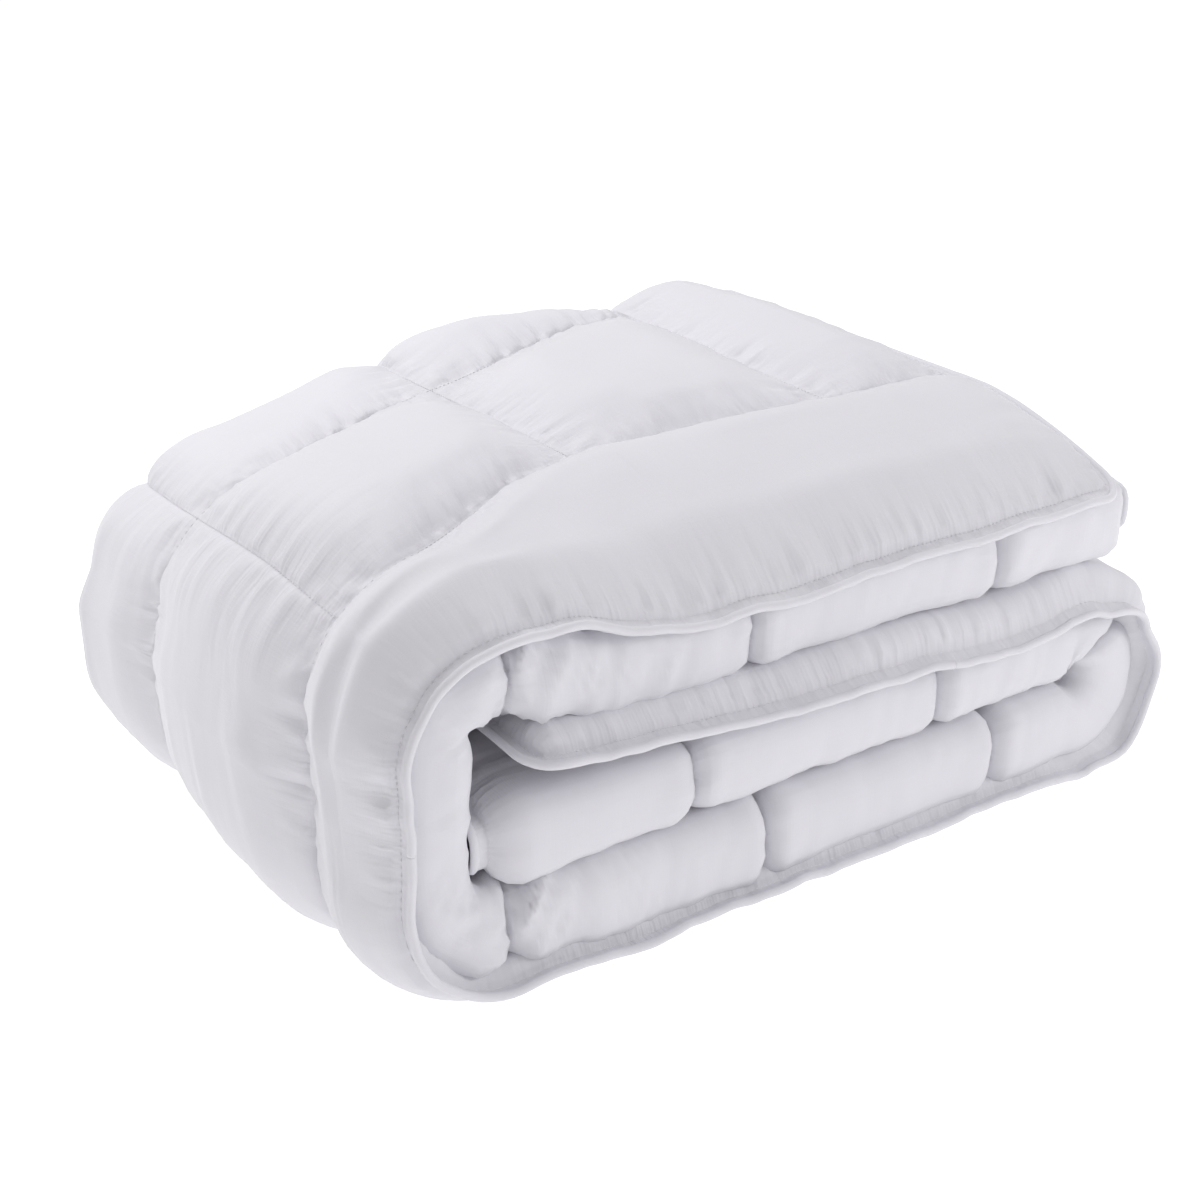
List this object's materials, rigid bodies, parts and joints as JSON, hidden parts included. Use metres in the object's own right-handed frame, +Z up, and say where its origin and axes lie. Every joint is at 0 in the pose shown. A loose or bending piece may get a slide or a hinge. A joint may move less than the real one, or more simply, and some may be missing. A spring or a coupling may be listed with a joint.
{
  "type": "folded quilted duvet",
  "caption": "Box-quilted white duvet with piped edges, folded in thirds and wound into a bundle whose outer turn unfolds.",
  "frame": {"origin": "middle of the footprint, on the surface that the bundle lies on", "axes": "+X along the front of the bundle from the left fold wall to the right-hand turn, +Y from the piped front to the back fold, +Z up"},
  "size_m": [0.7578, 0.5726, 0.3315],
  "materials": {
    "face_cloth": "smooth white woven cloth with a faint sheen",
    "back_cloth": "smooth white woven cloth with a faint sheen",
    "piping_cloth": "white woven bias strip",
    "piping_cord": "white twisted cotton cord",
    "fill": "white fibre fill",
    "thread": "white sewing thread"
  },
  "bodies": {
    "base": {"fill_bottom_border": "fill", "fill_turn_border": "fill", "fill_middle_border": "fill", "fill_bottom_outer": "fill", "fill_turn_outer": "fill", "fill_middle_outer": "fill", "fill_bottom_back": "fill", "fill_turn_back": "fill", "fill_middle_back": "fill", "fill_bottom_inner": "fill", "fill_turn_inner": "fill", "fill_middle_inner": "fill", "fill_bottom_front": "fill", "fill_turn_front": "fill", "fill_middle_front": "fill", "fill_bottom_tucked": "fill", "fill_turn_tucked": "fill", "fill_middle_tucked": "fill", "fill_middle_end": "fill", "face_panel_base": "face_cloth", "back_panel_base": "back_cloth", "piping_cover_base": "piping_cloth", "piping_cord_base": "piping_cord", "long_stitch_base": "thread", "cross_stitch_base": "thread", "topstitch_base": "thread"},
    "wall": {"fill_wall_border": "fill", "fill_wall_outer": "fill", "fill_wall_back": "fill", "fill_wall_inner": "fill", "fill_wall_front": "fill", "fill_wall_tucked": "fill", "face_panel_wall": "face_cloth", "back_panel_wall": "back_cloth", "piping_cover_wall": "piping_cloth", "piping_cord_wall": "piping_cord", "long_stitch_wall": "thread", "cross_stitch_wall": "thread", "topstitch_wall": "thread"},
    "flap": {"fill_top_border": "fill", "fill_top_outer": "fill", "fill_top_back": "fill", "fill_top_inner": "fill", "fill_top_front": "fill", "fill_top_tucked": "fill", "fill_top_end": "fill", "face_panel_flap": "face_cloth", "back_panel_flap": "back_cloth", "piping_cover_flap": "piping_cloth", "piping_cord_flap": "piping_cord", "long_stitch_flap": "thread", "cross_stitch_flap": "thread", "topstitch_flap": "thread"}
  },
  "joints": [
    {"name": "wall_fold", "type": "hinge", "parent": "base", "child": "wall", "pos_m": [-0.33387, 0, 0.04538], "axis": [0, -1, 0], "range_deg": [0, 90]},
    {"name": "flap_fold", "type": "hinge", "parent": "wall", "child": "flap", "pos_m": [-0.33387, 0, 0.28612], "axis": [0, -1, 0], "range_deg": [0, 90]}
  ]
}
